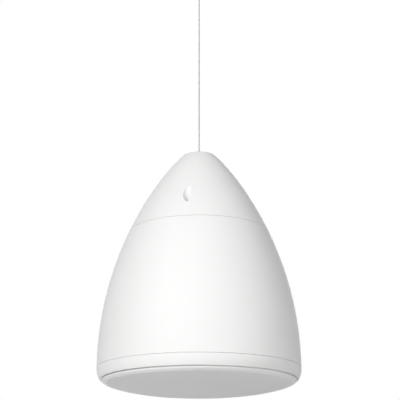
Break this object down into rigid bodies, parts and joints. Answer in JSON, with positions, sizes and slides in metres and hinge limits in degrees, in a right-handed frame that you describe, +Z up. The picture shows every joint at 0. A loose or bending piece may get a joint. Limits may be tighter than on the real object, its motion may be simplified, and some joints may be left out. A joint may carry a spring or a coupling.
{
  "type": "pendant ceiling loudspeaker",
  "caption": "Bell-shaped pendant loudspeaker that hangs from a ceiling on one wire rope, with a domed grille facing down and a coaxial driver inside.",
  "frame": {"origin": "top face of the ceiling holder, on the axis of the rope", "axes": "+Z up along the rope, out of the ceiling thread; -Y is the front of the picture"},
  "size_m": [0.266, 0.266, 0.59],
  "materials": {
    "shell_white": "fine satin moulded plastic",
    "grille_white": "satin powder coat on perforated steel",
    "grille_cloth": "grey acoustic cloth",
    "rope_steel": "bright stranded wire",
    "holder_nickel": "nickel-plated, turned",
    "ferrule": "crimped aluminium",
    "rubber_black": "soft matt rubber",
    "screw_zinc": "bright zinc",
    "strap_steel": "bent zinc-plated strap",
    "baffle_black": "black moulded board",
    "basket_black": "black painted pressing",
    "ferrite": "dark grey ferrite",
    "plate_steel": "zinc-plated plate",
    "cone_paper": "pressed fibre pulp",
    "spider_cloth": "impregnated cloth",
    "copper": "enamelled copper wire",
    "tweeter_black": "black moulded plastic",
    "dome_silk": "coated silk",
    "board_green": "glass-fibre board",
    "film_yellow": "film capacitor",
    "ceramic": "white ceramic",
    "terminal_green": "green moulded terminal",
    "lamination": "varnished laminations",
    "switch_black": "black moulded switch"
  },
  "bodies": {
    "enclosure": {"ceiling_holder": "holder_nickel", "holder_cap": "holder_nickel", "upper_stop": "ferrule", "wire_rope": "rope_steel", "lower_stop": "ferrule", "top_cap": "shell_white", "nose_bush": "shell_white", "cable_grommet": "rubber_black", "cap_screws": "screw_zinc", "main_shell": "shell_white", "mounting_plate": "shell_white", "suspension_bracket": "strap_steel", "bracket_screws": "screw_zinc", "trim_ring": "shell_white", "baffle_gasket": "rubber_black", "baffle": "baffle_black", "baffle_screws": "screw_zinc", "grille": "grille_white", "grille_cloth": "grille_cloth", "woofer_gasket": "rubber_black", "woofer_basket": "basket_black", "woofer_screws": "screw_zinc", "top_plate": "plate_steel", "magnet": "ferrite", "yoke": "plate_steel", "spider": "spider_cloth", "surround": "rubber_black", "rim_ring": "rubber_black", "tweeter_post": "plate_steel", "post_bolt": "screw_zinc", "tweeter_housing": "tweeter_black", "tweeter_dome": "dome_silk", "terminal_block": "terminal_green", "terminal_screws": "screw_zinc", "selector_body": "switch_black", "selector_nut": "plate_steel", "transformer_core": "lamination", "transformer_coil": "copper", "transformer_clamp": "strap_steel", "clamp_screws": "screw_zinc", "crossover_board": "board_green", "board_screws": "screw_zinc", "inductor": "copper", "capacitor": "film_yellow", "resistor": "ceramic"},
    "cone_assembly": {"cone": "cone_paper", "voice_coil": "copper"},
    "selector": {"selector_knob": "switch_black"}
  },
  "joints": [
    {"name": "cone_travel", "type": "slide", "parent": "enclosure", "child": "cone_assembly", "axis": [0, 0, 1], "range_m": [-0.004, 0.004], "stiffness_N_per_m": 1250, "deforming": ["surround", "spider"]},
    {"name": "selector_turn", "type": "hinge", "parent": "enclosure", "child": "selector", "pos_m": [0, -0.05, -0.37], "axis": [0, 0, 1], "range_deg": [0, 150]}
  ]
}
